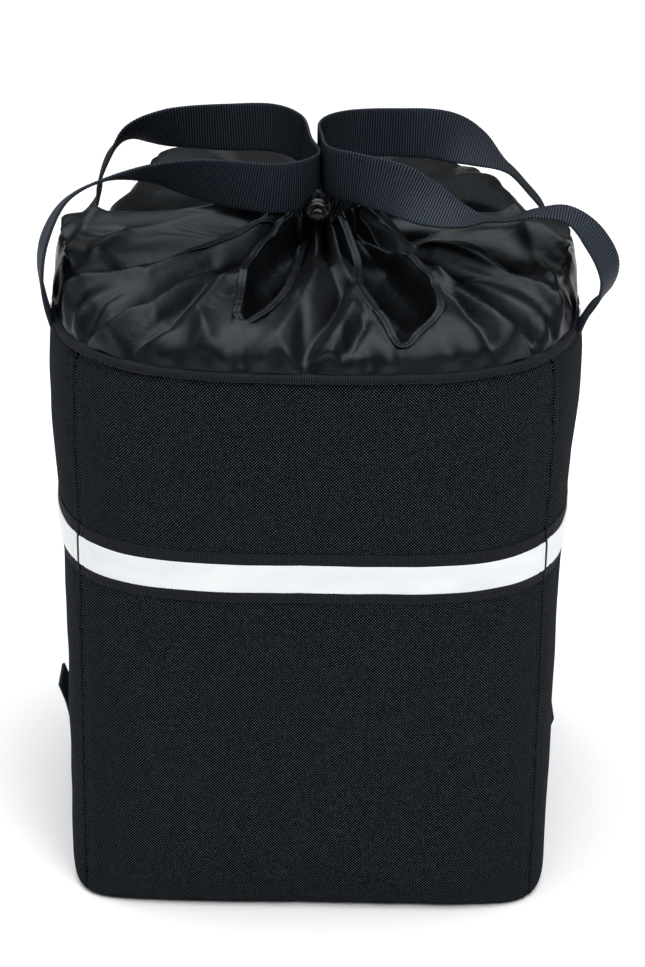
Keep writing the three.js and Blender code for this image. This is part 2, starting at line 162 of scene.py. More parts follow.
# How far the collar stands up at the rim, by degrees round it: 0 is the front's profile, 1 the back's, and
# below 0 it dips under the back ends of the handles
COLLAR_STANDS = np.array([
    (0, 0.95), (9, 0.8), (17, -0.3), (31, -0.3), (42, 0.35), (65, 0.9), (90, 0.95), (112, 1.0), (127, 1.0),
    (138, 0.1), (147, -0.5), (163, -0.5), (173, 0.7), (182, 1.0), (196, 0.7), (215, 0.25), (240, 0.05),
    (270, 0), (300, 0.05), (330, 0.25), (350, 0.8), (360, 0.95),
])
# Ridges and valleys on the collar's front as seen from above: half width, rise, and places as x and y
FOLD_LINES = [
    (7, -11, [(-93, -41), (-64, -30), (-30, -12)]),
    (5.5, 3.5, [(-104, -39), (-90, -19), (-60, -6), (-30, 6)]),
    (5, 5, [(-119, -62), (-80, -64), (-49, -37), (-18, -14)]),
    (5, 4, [(-121, -46), (-114, -25), (-108, -4)]),
    (4.5, -6, [(-107, -87), (-95, -92), (-83, -83), (-49, -45)]),
    (4.5, 3.5, [(-99, -99), (-76, -94), (-50, -53)]),
    (4.5, -5, [(-85, -108), (-67, -101), (-48, -60), (-36, -40)]),
    (6, 4.5, [(-27, -56), (-44, -68), (-54, -95), (-50, -114)]),
    (8, 3.5, [(4, -50), (-7, -90), (-17, -118)]),
    (6, -5.5, [(13, -63), (5, -97), (-5, -119)]),
    (6, 3.5, [(18, -89), (12, -112), (8, -122)]),
    (4, -3.5, [(23, -101), (17, -116), (11, -122)]),
    (8, -12, [(45, -8), (65, -12), (84, -22), (97, -44)]),
    (5, 5, [(18, -8), (45, -14), (71, -34), (86, -50), (115, -72)]),
    (5, -8, [(47, -24), (66, -50), (86, -79), (100, -92)]),
    (5, 4.5, [(57, -55), (72, -80), (85, -98), (93, -102)]),
    (3.5, -3.5, [(63, -66), (71, -90), (80, -106)]),
    (5, 4, [(94, 22), (108, -16), (122, -30)]),
    (5, 4, [(100, -12), (109, -48), (117, -68)]),
]
# Sharp crease along each, as shares of its rise and half width
SHARP_RISE, SHARP_WIDE = 0.34, 0.42
# Deep pockets beside the gather: places as x and y, half width and depth there
POCKETS = [
    [(14, -13, 3, 5), (29, -33, 9, 13), (38, -63, 16, 17), (43, -93, 13, 14), (40, -113, 3, 4)],
    [
        (-8, -19, 4, 5), (-15, -30, 7, 10), (-21, -48, 10, 13), (-24, -70, 9, 12), (-28, -90, 6, 8),
        (-32, -102, 3, 3),
    ],
]
# A pocket's soft and steep sides, between shares of its half width, and the steep ones' share of its depth
POCKET_SOFT = (0.45, 1.05)
POCKET_STEEP = (0.72, 1.0)
STEEP_DEEP = 0.75
# Lip round a pocket: rise, half width and distance out in half widths of the pocket
LIP_RISE, LIP_HALF, LIP_OUT = 1.6, 2.2, 1.1
# Where on the way in the sharp creases come and go
SHARP_SPAN = ((0.0, 0.06), (0.93, 1.0))
# Puckers along the rim seam: unevenness as of the binding, and where on the way in they come and go
COLLAR_PUCKER = (0.9, 8, 46, 7)
PUCKER_SPAN = ((0.01, 0.05), (0.07, 0.22))
COLLAR_MEAN_RADIUS = 125
# Simulation: scale, frames, how much longer the cloth is cut, share of the result that is kept, share of
# its broad swelling that is taken out, and the smoothing passes round and up that find the swelling
SIM_SCALE, SIM_FRAMES = 0.01, 30
COLLAR_SLACK = 1.02
SIM_KEPT, SWELL_OUT = 0.6, 0.8
SWELL_PASSES = (40, 16)
SIM_CLOTH = {
    "quality": 8, "mass": 0.2, "tension_stiffness": 40, "compression_stiffness": 40, "shear_stiffness": 12,
    "bending_stiffness": 6.0, "tension_damping": 12, "compression_damping": 12, "shear_damping": 8,
    "bending_damping": 1.0, "air_damping": 2.5, "use_pressure": True, "uniform_pressure_force": 15.0,
}
# Hem bands that lie free of the pockets, as x and y
HEM_LINES = [
    [(-9, -14), (-30, -23), (-49, -37), (-68, -54)],
    [(16, -8), (45, -14), (71, -34), (88, -52)],
]
HEM_WIDE, HEM_THICK = 4.2, 0.45
# Section as shares of the width and thickness, stitched down along the middle
HEM_PROFILE = np.array([
    (-0.5, -0.6), (-0.5, 0.75), (-0.36, 1), (-0.12, 0.8), (0, 0.55), (0.12, 0.8), (0.36, 1), (0.5, 0.75),
    (0.5, -0.6), (0, -0.8),
])
# A band narrows to a share of its width over some length at its free end
HEM_END, HEM_TAPER = 0.15, 22
# Round a pocket: share of its half width where the band lies, overlap inward, and share of the band's width
# that it runs past the pocket's end
HEM_PAST, HEM_INSIDE, HEM_TIP = 1.02, 0.6, 0.7
# Laying a band on the collar: where it falls from, its height where it misses, its steps and its smoothing
DRAPE_FROM, DRAPE_MISSED = RIM_Z + 90, RIM_Z + 10
DRAPE_STEP, DRAPE_LEAST = 0.9, 24
DRAPE_PASSES, DRAPE_SINK = 4, 0.3

# Thread: thickness, length of a stitch and pitch, on the body and on the hems
STITCH = (0.55, 2.5, 3.5)
HEM_STITCH = (0.4, 1.7, 2.4)
STITCH_SIDES, STITCH_FLAT = 6, 0.8
# Rings of a stitch: share of its length and of its thickness
STITCH_RINGS = np.array([(-0.5, 0.25), (-0.36, 0.85), (0, 1), (0.36, 0.85), (0.5, 0.25)])
# How far its middle stands out and its ends sink in, in thicknesses
STITCH_OUT, STITCH_IN = 0.28, 1.6
# Sewn rows: heights up a seam, shares across a tape, the gap left beside the tape, and lift off the cloth
SEAM_ROW = np.linspace(6, RIM_Z - 5, 160)
TAPE_ROW = np.linspace(-0.985, 0.985, 140)
TAPE_CLEAR = 1.0
SEAM_LIFT, TAPE_LIFT, BINDING_LIFT, HEM_LIFT = 0.05, 0.82, 0.6, 0.55
BINDING_ROW_Z = RIM_Z - 2.3
BINDING_ROW_COLUMNS = 500

# Cord lock and its cord, as in the model
LOCK_X = 0.5
LOCK_Z = RIM_Z + 45.5
LOCK_FRONT, LOCK_LONG = -29.0, 16.0
LOCK_RADIUS, LOCK_SIDES = 6.0, 48
# Ends of the barrel and the button: radius and place back from the front
BARREL_FRONT = [(0.8, 0), (4.6, 0), (5.2, 0.2), (5.7, 0.7), (LOCK_RADIUS, 1.4)]
BARREL_BACK = [
    (LOCK_RADIUS, LOCK_LONG - 1.4), (5.7, LOCK_LONG - 0.6), (5.0, LOCK_LONG - 0.1), (0.8, LOCK_LONG),
]
BUTTON_GAP, BUTTON_LONG = 0.3, 4.0
BUTTON = [(0.6, 0), (2.8, 0.05), (3.5, 0.35), (3.9, 0.9), (4, 1.6), (4, BUTTON_LONG)]
# Grooves round the barrel: places back from the front, depth, half width and half width at the bottom
GROOVES = (3.2, 4.8, LOCK_LONG - 4.8, LOCK_LONG - 3.2)
GROOVE_DEEP, GROOVE_HALF, GROOVE_FLOOR = 0.5, 0.6, 0.3
CORD_THICK, CORD_APART = 2.4, 3.6
CORD_Y = -20.0
CORD_LOW, CORD_HIGH = 38.8, 54.0
CORD_SIDES, CORD_STEPS = 20, 120
# Shoulder of the cord's loop, as shares of half its width: place out and rise
SHOULDER_OUT, SHOULDER_RISE = 0.7, 1.2
BRAID_HIGH, BRAID_STRANDS, BRAID_PITCH = 0.06, 4, 2.2

# Webbing, and the handles' routes: x, y, rise over the rim, and the direction across the width
WEB_WIDE, WEB_THICK = 25.0, 1.8
RIB_PITCH, RIB_HIGH = 1.3, 0.13
STEPS_PER_RIB = 4
# Section: points over each face, where the face ends in from the edge, and the rounded edge
WEB_FACE_POINTS, WEB_FACE_IN = 13, 0.7
WEB_ROUND_IN, WEB_ROUND_LEVEL = 0.18, 0.7
LEFT_HANDLE = [
    (-126.6, -45, -3, -0.12, 0.99, 0), (-129.2, -45, 7, -0.12, 0.99, 0),
    (-131, -45, 21, -0.16, 0.98, 0), (-128.5, -43, 37, -0.16, 0.97, -0.1),
    (-118, -40, 55, -0.1, 0.95, -0.28), (-100, -36, 64, 0, 0.95, -0.31),
    (-78, -31, 66, 0, 0.8, -0.6), (-58, -27, 62.5, 0, 0.45, -0.9),
    (-38, -23, 58, 0, 0.15, -1), (-16, -18, 55, 0, 0, -1),
    (0.2, -2.5, 55.5, 0, 0, -1), (-3.6, 12, 59, 0, 0, -1),
    (-8.5, 34, 63, 0, 0, -1), (-22, 50, 63.5, 0, 0, -1),
    (-48, 55, 62, 0, 0.1, -1), (-74, 56, 61, 0, 0.4, -0.9),
    (-94, 57, 57, 0, 0.8, -0.55), (-104, 57, 47, -0.05, 1, -0.15),
    (-109.5, 57, 34, 0, 1, 0), (-110.8, 56.5, 23, 0, 1, 0),
    (-117, 56, 14.5, 0.08, 1, 0), (-124.2, 55.5, 8.5, 0.14, 0.98, 0),
    (-127.2, 55, 2.5, 0.18, 0.98, 0), (-124.6, 55, -3, 0.18, 0.98, 0),
]
RIGHT_HANDLE = [
    (126.6, -45, -3, 0.12, 0.99, 0), (130.6, -45, 5, 0.2, 0.98, 0),
    (137.8, -45, 15, 0.35, 0.93, 0), (139.2, -44, 26, 0.4, 0.9, 0.1),
    (131, -42, 41, 0.25, 0.93, 0.2), (119, -40, 51, 0.05, 1, 0.02),
    (104, -38, 51, 0, 0.98, -0.18), (86, -34, 45.5, 0, 0.94, -0.33),
    (70, -31, 46, 0, 0.96, 0.1), (54, -28, 51, 0, 0.75, 0.65),
    (38, -24, 57, 0, 0.35, 0.93), (20, -18, 60, 0, 0.1, 1),
    (5, -7, 60.5, 0, 0, 1), (1.8, 8, 62, 0, 0, 1),
    (0.6, 22, 62.8, 0, 0, 1), (5, 36, 62.6, 0, 0, 1),
    (17, 49, 61.5, 0, 0, 1), (40, 55, 60.5, 0, 0.05, 1),
    (62, 56, 59, 0, 0.3, 0.95), (81, 57, 52, 0, 0.8, 0.5),
    (97, 57, 41, 0, 0.98, -0.1), (106, 56.5, 31.5, 0, 0.98, -0.1),
    (112.5, 56, 24, 0, 0.98, -0.1), (117.5, 55.6, 15.5, -0.1, 0.98, 0),
    (122.6, 55.2, 8.5, -0.14, 0.98, 0), (125.3, 55, 2.5, -0.18, 0.98, 0),
    (123.8, 55, -3, -0.18, 0.98, 0),
]
# Rack straps as x and z, at one y
STRAP_Y = -5.0
LEFT_STRAP = [(-120.9, 8), (-121.5, 20), (-122.6, 38), (-125.4, 54), (-129.2, 65.6)]
RIGHT_STRAP = [(120.9, 8), (121.5, 20), (122, 34), (123, 43), (125.2, 50)]

# Points along a smooth line before it is cut into even steps
WEB_SAMPLES, DRAPE_SAMPLES, PROFILE_SAMPLES, POCKET_SAMPLES = 1500, 600, 400, 80
PANEL_SAMPLES, RIM_SAMPLES = 240, 4001

# Weaves: one wave of each cloth, and the range that most of a noise is in
OXFORD_PITCH, TAFFETA_PITCH, YARN_PITCH, GROSGRAIN_PITCH = 1.5, 0.9, 1.3, 1.1
NOISE_RANGE = (0.3, 0.7)
BLUE_SHEEN = (0.76, 0.9, 1, 1)
# Colours: dark and light
COLOURS = {
    # The oxford's light colour, on the tops of its weave, is partly painted glint off the threads, which get
    # next to no specular of their own
    "oxford": ((0.0002, 0.0002, 0.0003), (0.098, 0.115, 0.142)),
    "taffeta": ((0.0018, 0.0021, 0.0026), (0.0032, 0.0037, 0.0044)),
    "webbing": ((0.0008, 0.001, 0.0018), (0.036, 0.046, 0.066)),
    "grosgrain": ((0.0035, 0.0042, 0.006), (0.015, 0.0175, 0.026)),
    "reflective": ((0.76, 0.775, 0.785), (0.82, 0.83, 0.84)),
    "thread": ((0.003, 0.0034, 0.0048), (0.009, 0.0105, 0.014)),
    "plastic": ((0.0012, 0.0012, 0.0014), (0.002, 0.002, 0.0023)),
    "floor": ((0.955, 0.955, 0.955), (0.965, 0.965, 0.965)),
}

# Camera: place in metres, degrees that it looks down and that it is rolled, lens and sensor
CAMERA_PLACE = (0.00452, -1.42325, 0.80712)
CAMERA_DOWN, CAMERA_ROLL = 24, 0.8
CAMERA_LENS, CAMERA_SENSOR = 114.74, 36
# Lights: name, place, aim, size in metres and power
LIGHTS = [
    ("overhead", (-0.1, 0.1, 2.1), (0, 0.3, 0), (2.2, 1.6), 26),
    ("front_right", (0.45, -1.0, 1.25), (0, 0, 0.25), (0.6, 0.45), 7),
    ("left", (-1.7, -0.6, 1.2), (0, 0, 0.25), (0.6, 1.0), 3),
]
FLOOR_HALF = 6
# Dome: between two heights of a direction, from dim at the horizon to bright overhead
DOME = (0.45, 0.85, 0.07, 1.5)
DOME_COLOUR = (0.97, 0.985, 1, 1)


# Curves and tables

def monotone(xs, ys):
    """A smooth curve through a table's rows that doesn't overshoot them."""
    step = np.diff(xs)
    slope = np.diff(ys) / step
    tangent = np.zeros(len(xs))
    tangent[0], tangent[-1] = slope[0], slope[-1]
    before, after = 2 * step[1:] + step[:-1], step[1:] + 2 * step[:-1]
    same = slope[:-1] * slope[1:] > 0
    with np.errstate(divide="ignore", invalid="ignore"):
        mean = (before + after) / (before / slope[:-1] + after / slope[1:])
    tangent[1:-1][same] = mean[same]

    def at(x):
        x = np.clip(x, xs[0], xs[-1])
        i = np.clip(np.searchsorted(xs, x, side="right") - 1, 0, len(step) - 1)
        t = (x - xs[i]) / step[i]
        rise = ys[i] * (1 + 2 * t) * (1 - t) ** 2 + ys[i + 1] * t * t * (3 - 2 * t)
        return rise + step[i] * (tangent[i] * t * (1 - t) ** 2 + tangent[i + 1] * t * t * (t - 1))

    return at


HALF_WIDTH, HALF_DEPTH, SQUARENESS, SEAM_DEG = (monotone(SECTIONS[:, 0], row) for row in SECTIONS.T[1:])


def smoothstep(x, low, high):
    t = np.clip((x - low) / (high - low), 0, 1)
    return t * t * (3 - 2 * t)


def within(x, come, go):
    """1 in a span that comes and goes smoothly, 0 out of it."""
    return smoothstep(x, *come) * (1 - smoothstep(x, *go))


def dent(away, deep, half):
    """A rounded dent or ridge, at a distance from its middle."""
    return deep * np.exp(-(away / half) ** 2)


def crease(away, deep, half):
    """A sharp dent or ridge, at a distance from its line."""
    return deep * np.exp(-away / half)


def round_angles(count):
    return np.linspace(0, TAU, count, endpoint=False)


def unit(vectors):
    return vectors / np.maximum(np.linalg.norm(vectors, axis=-1, keepdims=True), TINY)


def skin(angle, z, inset):
    """Points on the outside of the body at an angle and height, inset by some length."""
    squareness = SQUARENESS(z)
    along_x = np.abs(np.cos(angle)) / (HALF_WIDTH(z) - inset)
    along_y = np.abs(np.sin(angle)) / (HALF_DEPTH(z) - inset)
    radius = (along_x ** squareness + along_y ** squareness) ** (-1 / squareness)
    return np.stack([radius * np.cos(angle), radius * np.sin(angle), np.full(radius.shape, z)], axis=-1)


def catmull_rom(points, samples):
    """Centripetal curve through points, at even steps between each pair."""
    points = np.asarray(points, float)
    padded = np.vstack([2 * points[0] - points[1], points, 2 * points[-1] - points[-2]])
    spans = len(points) - 1
    at = np.linspace(0, spans, samples)
    i = np.minimum(at.astype(int), spans - 1)
    t = (at - i)[:, None]
    p0, p1, p2, p3 = (padded[i + k] for k in range(4))
    gap = [np.maximum(np.linalg.norm(b - a, axis=1, keepdims=True) ** 0.5, TINY)
           for a, b in ((p0, p1), (p1, p2), (p2, p3))]
    leave = (p1 - p0) / gap[0] - (p2 - p0) / (gap[0] + gap[1]) + (p2 - p1) / gap[1]
    arrive = (p2 - p1) / gap[1] - (p3 - p1) / (gap[1] + gap[2]) + (p3 - p2) / gap[2]
    leave, arrive = leave * gap[1], arrive * gap[1]
    cubic = 2 * p1 - 2 * p2 + leave + arrive
    square = -3 * p1 + 3 * p2 - 2 * leave - arrive
    return p1 + leave * t + square * t ** 2 + cubic * t ** 3


def arc_length(points):
    return np.concatenate([[0], np.cumsum(np.linalg.norm(np.diff(points, axis=0), axis=1))])


def values_at(at, along, values):
    """Rows of values, known at lengths along a line, at other lengths."""
    return np.stack([np.interp(at, along, column) for column in values.T], axis=-1)


def even_steps(points, count, *others):
    """Points at even steps along a line, with other values carried along."""
    along = arc_length(points)
    at = np.linspace(0, along[-1], count)
    return [values_at(at, along, values) for values in (points, *others)], at


def ripple(u, v, waves, length, seed):
    """Smooth seeded unevenness of about unit height, with waves of about one length."""
    rng = np.random.default_rng(seed)
    total = np.zeros(np.broadcast(u, v).shape)
    for _ in range(waves):
        heading = rng.uniform(0, TAU)
        number = TAU / (length * rng.uniform(*WAVE_SPREAD))
        place = u * math.cos(heading) + v * math.sin(heading)
        total = total + np.sin(number * place + rng.uniform(0, TAU))
    return total / math.sqrt(waves)


def ring_ripple(turn, high, waves, number, seed):
    """Seeded unevenness of about one height that closes in a turn of about a number of waves."""
    rng = np.random.default_rng(seed)
    total = np.zeros(np.shape(turn))
    for _ in range(waves):
        total = total + np.sin(TAU * (round(number * rng.uniform(*RING_SPREAD)) * turn + rng.uniform()))
    return high * (total / math.sqrt(waves))


# Meshes

def add_object(name, data):
    made = bpy.data.objects.new(name, data)
    bpy.context.scene.collection.objects.link(made)
    return made


def add_piece(name, points, faces, material, uv=None, node=None):
    """A mesh riding on the bag, from points and cloth coordinates in millimetres."""
    mesh = bpy.data.meshes.new(name)
    faces = faces.tolist() if isinstance(faces, np.ndarray) else faces
    mesh.from_pydata((np.reshape(points, (-1, 3)) * MM).tolist(), [], faces)
    mesh.polygons.foreach_set("use_smooth", np.ones(len(mesh.polygons), bool))
    if uv is not None:
        corner = np.empty(len(mesh.loops), np.int32)
        mesh.loops.foreach_get("vertex_index", corner)
        layer = mesh.uv_layers.new(name="cloth")
        layer.data.foreach_set("uv", np.reshape(uv, (-1, 2)).astype(np.float32)[corner].ravel())
    mesh.materials.append(material)
    mesh.validate()
    piece = add_object(name, mesh)
    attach(piece, "root")
    if node:
        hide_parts(node)
    return piece


def cloth_uv(u, v, grid):
    """Cloth coordinates of a grid of points, from lengths across it and along it."""
    return np.stack([np.broadcast_to(u, grid.shape[:2]), np.broadcast_to(v, grid.shape[:2])], axis=-1)


def point_numbers(rows, columns, start=0, ring=False):
    """Numbers of a grid's points; a ring has its first column again after the last."""
    grid = start + np.arange(rows * columns).reshape(rows, columns)
    return np.hstack([grid, grid[:, :1]]) if ring else grid


def quads(*corners):
    return np.stack(corners, axis=-1).reshape(-1, 4)


def grid_faces(grid):
    return quads(grid[:-1, :-1], grid[:-1, 1:], grid[1:, 1:], grid[1:, :-1])


def tube_faces(rows, columns, start=0, flip=False):
    """Faces of a tube of rings of points, closed at both ends."""
    grid = point_numbers(rows, columns, start, ring=True)
    faces = grid_faces(grid).tolist() + [grid[0, -2::-1].tolist(), grid[-1, :-1].tolist()]
    return [face[::-1] for face in faces] if flip else faces


def shell(outside, inside, ring=False):
    """Closed solid between two grids of the same columns and, unless they are rings, the same rows."""
    columns = outside.shape[1]
    over = point_numbers(len(outside), columns, 0, ring)
    under = point_numbers(len(inside), columns, len(outside) * columns, ring)
    faces = [
        grid_faces(over),
        grid_faces(under)[:, ::-1],
        quads(over[0, :-1], under[0, :-1], under[0, 1:], over[0, 1:]),
        quads(over[-1, :-1], over[-1, 1:], under[-1, 1:], under[-1, :-1]),
    ]
    if not ring:
        faces.append(quads(over[:-1, 0], over[1:, 0], under[1:, 0], under[:-1, 0]))
        faces.append(quads(over[:-1, -1], under[:-1, -1], under[1:, -1], over[1:, -1]))
    points = np.concatenate([outside.reshape(-1, 3), inside.reshape(-1, 3)])
    return points, np.concatenate(faces)


def ring_normals(points):
    """Unit normals of a ring grid of points, out of the side its quads face."""
    across = np.roll(points, -1, axis=1) - np.roll(points, 1, axis=1)
    return unit(np.cross(across, np.gradient(points, axis=0)))


# Materials

class Nodes:
    """Short hand for the node tree of a new material, or of a world."""

    def __init__(self, name, kind="materials"):
        self.owner = getattr(bpy.data, kind).new(name)
        self.owner.use_nodes = True
        self.tree = self.owner.node_tree

    def node(self, kind, **settings):
        made = self.tree.nodes.new(kind)
        for key, value in settings.items():
            setattr(made, key, value)
        return made

    def join(self, socket, value):
        if isinstance(value, bpy.types.NodeSocket):
            self.tree.links.new(value, socket)
        else:
            socket.default_value = value

    def feed(self, made, **sockets):
        """Sets a node's sockets, named with _ for a space, to values or other nodes' outputs."""
        for key, value in sockets.items():
            self.join(made.inputs[key.replace("_", " ")], value)

    def math(self, operation, a, b=0.0):
        made = self.node("ShaderNodeMath", operation=operation)
        self.join(made.inputs[0], a)
        self.join(made.inputs[1], b)
        return made.outputs[0]

    def cloth(self):
        """Cloth coordinates u and v, in millimetres."""
        split = self.node("ShaderNodeSeparateXYZ")
        self.feed(split, Vector=self.node("ShaderNodeUVMap", uv_map="cloth").outputs[0])
        return split.outputs[0], split.outputs[1]

    def wave(self, value, pitch):
        """Sine of a length in millimetres, one wave to each pitch."""
        return self.math("SINE", self.math("MULTIPLY", value, TAU / pitch))

    def ribs(self, value, pitch):
        """A wave as a height from 0 to 1."""
        return self.ramp(self.wave(value, pitch), -1, 1)

    def weave(self, u, u_pitch, v, v_pitch):
        """Two crossed waves as a height from 0 to 1."""
        return self.ramp(self.math("MULTIPLY", self.wave(u, u_pitch), self.wave(v, v_pitch)), -1, 1)

    def noise(self, pitch, detail=2.0, stretch=(1, 1, 1)):
        """Noise in the object's own space, with grains of about one pitch."""
        place = self.node("ShaderNodeMapping")
        self.feed(place, Vector=self.node("ShaderNodeTexCoord").outputs["Object"], Scale=stretch)
        made = self.node("ShaderNodeTexNoise")
        self.feed(made, Vector=place.outputs[0], Scale=1 / (pitch * MM), Detail=detail)
        return made.outputs["Fac"]

    def ramp(self, value, low, high, dark=0, light=1, **settings):
        made = self.node("ShaderNodeMapRange", **settings)
        self.feed(made, Value=value, From_Min=low, From_Max=high, To_Min=dark, To_Max=light)
        return made.outputs[0]

    def tint(self, value, name):
        """From the dark to the light of a pair of colours."""
        dark, light = COLOURS[name]
        made = self.node("ShaderNodeMix", data_type="RGBA")
        self.feed(made, Factor=value, A=(*dark, 1), B=(*light, 1))
        return made.outputs["Result"]

    def bump(self, height, depth, over=None):
        """Bump of a height from 0 to 1 that stands for some millimetres."""
        made = self.node("ShaderNodeBump")
        self.feed(made, Height=height, Distance=depth * MM)
        if over is not None:
            self.feed(made, Normal=over)
        return made.outputs[0]

    def finish(self, shader="Principled BSDF", **sockets):
        self.feed(self.tree.nodes[shader], **sockets)
        return self.owner


def oxford_cloth():
    n = Nodes("oxford_cloth")
    u, v = n.cloth()
    height = n.weave(u, OXFORD_PITCH, v, OXFORD_PITCH)
    tone = n.ramp(n.noise(1.4, 2), *NOISE_RANGE, -0.07, 0.07)
    # Lighter tops of the weave: the cloth's pattern, and also painted glint off the threads in place of
    # specular
    weave_and_glint = n.ramp(n.math("ADD", height, tone), 0.62, 1.0)
    grain = n.bump(n.noise(0.5, 1), 0.08)
    return n.finish(
        Base_Color=n.tint(weave_and_glint, "oxford"), Roughness=n.ramp(height, 0, 1, 0.9, 0.62),
        Normal=n.bump(height, 0.35, grain), Specular_IOR_Level=0.01,
    )


def taffeta():
    n = Nodes("taffeta")
    u, v = n.cloth()
    weave = n.weave(u, TAFFETA_PITCH, v, TAFFETA_PITCH)
    tone = n.ramp(n.noise(22, 3), *NOISE_RANGE)
    crumple = n.bump(n.noise(9, 3), 0.5)
    return n.finish(
        Base_Color=n.tint(tone, "taffeta"), Roughness=n.ramp(tone, 0, 1, 0.3, 0.4),
        Normal=n.bump(weave, 0.05, crumple), Specular_IOR_Level=0.25, Specular_Tint=BLUE_SHEEN,
    )


def webbing_cloth():
    n = Nodes("webbing")
    u, v = n.cloth()
    rib = n.math("MULTIPLY", n.ribs(v, RIB_PITCH), 0.6)
    yarn = n.math("MULTIPLY", n.weave(u, YARN_PITCH, v, RIB_PITCH * 2), 0.4)
    height = n.math("ADD", rib, yarn)
    return n.finish(
        Base_Color=n.tint(n.ramp(height, 0.3, 0.9), "webbing"), Roughness=n.ramp(height, 0, 1, 0.85, 0.5),
        Normal=n.bump(height, 0.22), Specular_IOR_Level=0.2, Specular_Tint=BLUE_SHEEN,
    )


def grosgrain():
    n = Nodes("grosgrain")
    u, _ = n.cloth()
    rib = n.ribs(u, GROSGRAIN_PITCH)
    grain = n.bump(n.noise(0.6, 1), 0.06)
    return n.finish(
        Base_Color=n.tint(rib, "grosgrain"), Roughness=n.ramp(rib, 0, 1, 0.9, 0.6),
        Normal=n.bump(rib, 0.2, grain), Specular_IOR_Level=0.12,
    )


def reflective():
    n = Nodes("reflective_strip")
    bead = n.noise(0.35, 1)
    cloud = n.ramp(n.noise(30, 2, (1, 1, 3)), 0.35, 0.65)
    return n.finish(
        Base_Color=n.tint(cloud, "reflective"), Roughness=n.ramp(bead, *NOISE_RANGE, 0.32, 0.5),
        Normal=n.bump(bead, 0.03, n.bump(cloud, 0.15)), Specular_IOR_Level=0.5,
    )


def thread():
    n = Nodes("thread")
    twist = n.ramp(n.noise(0.4, 1), *NOISE_RANGE)
    colour = n.tint(twist, "thread")
    return n.finish(Base_Color=colour, Roughness=0.55, Normal=n.bump(twist, 0.05), Specular_IOR_Level=0.2)


def moulded_plastic():
    n = Nodes("lock_plastic")
    grain = n.noise(0.8, 2)
    return n.finish(
        Base_Color=n.tint(n.ramp(grain, *NOISE_RANGE), "plastic"), Normal=n.bump(grain, 0.004),
        Roughness=n.ramp(grain, *NOISE_RANGE, 0.14, 0.22), Specular_IOR_Level=0.3,
    )


def pale_floor():
    n = Nodes("pale_floor")
    return n.finish(Base_Color=n.tint(n.ramp(n.noise(160, 2), *NOISE_RANGE), "floor"), Roughness=0.9)


OXFORD = oxford_cloth()
TAFFETA = taffeta()
WEBBING = webbing_cloth()
GROSGRAIN = grosgrain()
REFLECTIVE = reflective()
THREAD = thread()
PLASTIC = moulded_plastic()


# Camera, light and floor

def add_camera():
    data = bpy.data.cameras.new("camera")
    data.sensor_width, data.lens = CAMERA_SENSOR, CAMERA_LENS
    camera = add_object("camera", data)
    tilt = Matrix.Rotation(math.radians(90 - CAMERA_DOWN), 4, "X")
    roll = Matrix.Rotation(math.radians(CAMERA_ROLL), 4, "Z")
    camera.matrix_world = Matrix.Translation(CAMERA_PLACE) @ tilt @ roll
    bpy.context.scene.camera = camera


def add_light(name, place, aim, size, power):
    data = bpy.data.lights.new(name, "AREA")
    data.shape = "RECTANGLE"
    data.size, data.size_y = size
    data.energy = power
    light = add_object(name, data)
    light.location = place
    light.rotation_euler = (Vector(aim) - light.location).to_track_quat("-Z", "Y").to_euler()


def add_studio():
    floor = bpy.data.meshes.new("floor")
    corners = [(FLOOR_HALF * x, FLOOR_HALF * y, 0) for x, y in ((-1, -1), (1, -1), (1, 1), (-1, 1))]
    floor.from_pydata(corners, [], [(0, 1, 2, 3)])
    floor.materials.append(pale_floor())
    stage = add_object("floor", floor)
    sky = Nodes("studio", "worlds")
    split = sky.node("ShaderNodeSeparateXYZ")
    sky.feed(split, Vector=sky.node("ShaderNodeTexCoord").outputs["Generated"])
    glow = sky.ramp(split.outputs["Z"], *DOME, interpolation_type="SMOOTHSTEP")
    bpy.context.scene.world = sky.finish("Background", Color=DOME_COLOUR, Strength=glow)
    bpy.context.scene.view_settings.view_transform = "Standard"
    for light in LIGHTS:
        add_light(*light)


# Padded panels

# Where a panel starts and ends: an angle and how many times the seam's angle is added to it
PANELS = {
    "right": ((0, -1), (0, 1)),
    "back": ((0, 1), (math.pi, -1)),
    "left": ((math.pi, -1), (math.pi, 1)),
    "front": ((math.pi, 1), (TAU, -1)),
}
PANEL_NODES = {
    "front": "front_panel", "back": "back_panel", "left": "left_side_panel", "right": "right_side_panel",
}


def panel_lines(side, z):
    """Dense angles across a panel at one height, and the lengths along them."""
    seam = math.radians(float(SEAM_DEG(z)))
    start, end = (angle + times * seam for angle, times in PANELS[side])
    angle = np.linspace(start, end, PANEL_SAMPLES)
    return angle, arc_length(skin(angle, z, 0.0))


def relief(side, along, length, z):
    """How far the padded skin is drawn in, at a length along the panel and a height."""
    edge = np.minimum(along, length - along)
    short = np.clip(SEAM_ROLL - edge, 0, SEAM_ROLL)
    drawn = SEAM_ROLL - np.sqrt(SEAM_ROLL ** 2 - short ** 2) + dent(edge - TOPSTITCH_OFF, *TOPSTITCH_DENT)
    for row in (-TAPE_STITCH_OFF, TAPE_STITCH_OFF):
        drawn = drawn + dent(z - TAPE_Z - row, *TAPE_DENT)
    drawn = drawn + BINDING_DEEP * smoothstep(z, *BINDING_DRAWS)
    if side == "front":
        drawn = drawn + crease(np.abs(along - length / 2 - CREASE_AT), *FRONT_CREASE)
    seed = sum(side.encode())
    inner = smoothstep(edge, 0, WRINKLE_IN)
    for k, (deep, wave) in enumerate(WRINKLES):
        drawn = drawn + inner * deep * ripple(along, z, WRINKLE_WAVES, wave, seed + k)
    pucker = ripple(along * PUCKER_SQUEEZE, z, PUCKER_WAVES, PUCKER_LONG, seed + len(WRINKLES))
    return drawn + crease(edge, PUCKER_DEEP, PUCKER_IN) * crease(RIM_Z - z, 1, PUCKER_DOWN) * pucker


